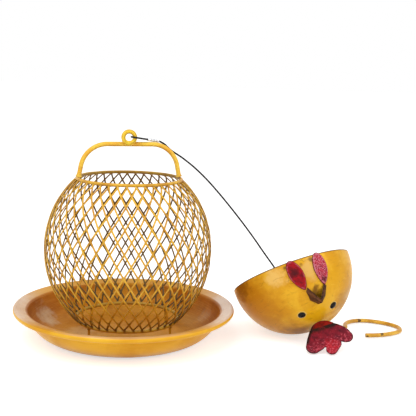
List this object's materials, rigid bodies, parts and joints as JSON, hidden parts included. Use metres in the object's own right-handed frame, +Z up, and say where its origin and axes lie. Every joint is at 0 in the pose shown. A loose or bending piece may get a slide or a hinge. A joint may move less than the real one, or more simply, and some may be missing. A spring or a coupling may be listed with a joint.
{
  "type": "bird feeder",
  "caption": "Wire cage bird feeder on a round seed tray, with a handle and a rooster's head lid that slides on a steel cable with a hanging hook.",
  "frame": {"origin": "on the ground under the middle of the tray's flat base", "axes": "+X from the tray towards the lid and the hook, +Y away from the viewer of the rooster's face, +Z up"},
  "size_m": [0.4024, 0.22, 0.2077],
  "materials": {
    "tray_paint": "gloss",
    "cage_paint": "satin",
    "handle_paint": "gloss",
    "lid_paint": "gloss",
    "comb_paint": "gloss",
    "wattle_paint": "gloss",
    "beak_paint": "satin",
    "eye_paint": "gloss",
    "cable_coat": "gloss",
    "sleeve_metal": "satin",
    "hook_paint": "gloss"
  },
  "bodies": {
    "feeder": {"tray_floor": "tray_paint", "tray_wall": "tray_paint", "tray_flange": "tray_paint", "leg_front_left": "cage_paint", "leg_front_right": "cage_paint", "leg_back_right": "cage_paint", "leg_back_left": "cage_paint", "cage_bottom_ring": "cage_paint", "cage_top_ring": "cage_paint", "strands_inner": "cage_paint", "strands_outer": "cage_paint", "handle": "handle_paint", "handle_eye": "handle_paint"},
    "tether": {"near_loop": "cable_coat", "near_sleeve": "sleeve_metal", "tether_cable": "cable_coat", "far_sleeve": "sleeve_metal", "far_loop": "cable_coat"},
    "lid": {"lid_dome": "lid_paint", "comb": "comb_paint", "beak": "beak_paint", "wattle_left": "wattle_paint", "wattle_right": "wattle_paint", "eye_left": "eye_paint", "eye_right": "eye_paint"},
    "hook": {"hanging_hook": "hook_paint"}
  },
  "joints": [
    {"name": "tether_swing", "type": "hinge", "parent": "feeder", "child": "tether", "pos_m": [0.00169, -0.00464, 0.19984], "axis": [0.1736, -0.9848, 0], "range_deg": [0, 100]},
    {"name": "lid_slide", "type": "slide", "parent": "tether", "child": "lid", "axis": [-0.5158, 0.2589, 0.8167], "range_m": [0, 0.045]},
    {"name": "hook_swing", "type": "hinge", "parent": "tether", "child": "hook", "pos_m": [0.21583, -0.00046, 0.00455], "axis": [0.5519, -0.8339, 0], "range_deg": [0, 45]}
  ]
}
